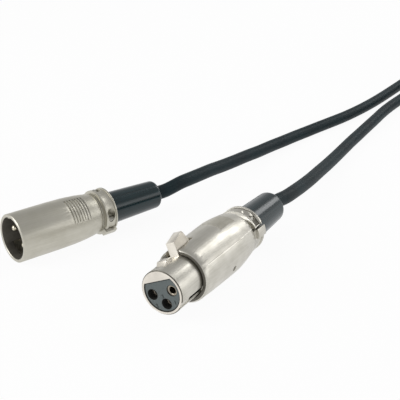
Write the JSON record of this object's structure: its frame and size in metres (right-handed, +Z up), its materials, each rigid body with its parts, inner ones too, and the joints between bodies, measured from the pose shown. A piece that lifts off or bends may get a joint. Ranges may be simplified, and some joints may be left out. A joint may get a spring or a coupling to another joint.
{
  "type": "coiled microphone cable",
  "caption": "Microphone cable with a pinned male plug, a latching female plug, rubber boots and a tied coil of spare length.",
  "frame": {"origin": "on the ground, at the centre of the box around the two plugs, coil and leads left out", "axes": "+X along the male plug's axis, from its mouth to its cable; +Z up; the male plug lies at +Y, the female at -Y"},
  "size_m": [0.4149, 0.1516, 0.0269],
  "materials": {
    "barrel_nickel": "satin nickel plate",
    "insert_plastic": "matte",
    "contact_metal": "plated",
    "screw_steel": "plated",
    "boot_rubber": "satin",
    "cable_jacket": "satin",
    "core_white": "satin",
    "core_red": "satin",
    "core_blue": "satin",
    "spring_steel": "bright",
    "tie_fabric": "woven"
  },
  "bodies": {
    "cable": {"male_shell": "barrel_nickel", "male_insert": "insert_plastic", "male_pin_1": "contact_metal", "male_pin_2": "contact_metal", "male_pin_3": "contact_metal", "male_insert_screw": "screw_steel", "male_clamp_saddle": "barrel_nickel", "male_clamp_screws": "screw_steel", "male_boot": "boot_rubber", "male_cable_end": "cable_jacket", "male_core_1": "core_white", "male_core_2": "core_red", "male_core_3": "core_blue", "female_shell": "barrel_nickel", "female_nose": "barrel_nickel", "female_insert": "insert_plastic", "female_socket_1": "contact_metal", "female_socket_2": "contact_metal", "female_socket_3": "contact_metal", "latch_pin": "screw_steel", "latch_spring": "spring_steel", "female_insert_screw": "screw_steel", "female_clamp_saddle": "barrel_nickel", "female_clamp_screws": "screw_steel", "female_boot": "boot_rubber", "female_cable_end": "cable_jacket", "female_core_1": "core_white", "female_core_2": "core_red", "female_core_3": "core_blue", "male_lead": "cable_jacket", "female_lead": "cable_jacket", "cable_coil": "cable_jacket", "coil_tie": "tie_fabric"},
    "latch": {"female_latch": "barrel_nickel"}
  },
  "joints": [
    {"name": "latch_press", "type": "hinge", "parent": "cable", "child": "latch", "pos_m": [-0.00161, -0.023, 0.01595], "axis": [0.3152, -0.8497, 0.4226], "range_deg": [0, 4.5], "stiffness_Nm_per_rad": 0.02, "springref_deg": -5.73}
  ]
}
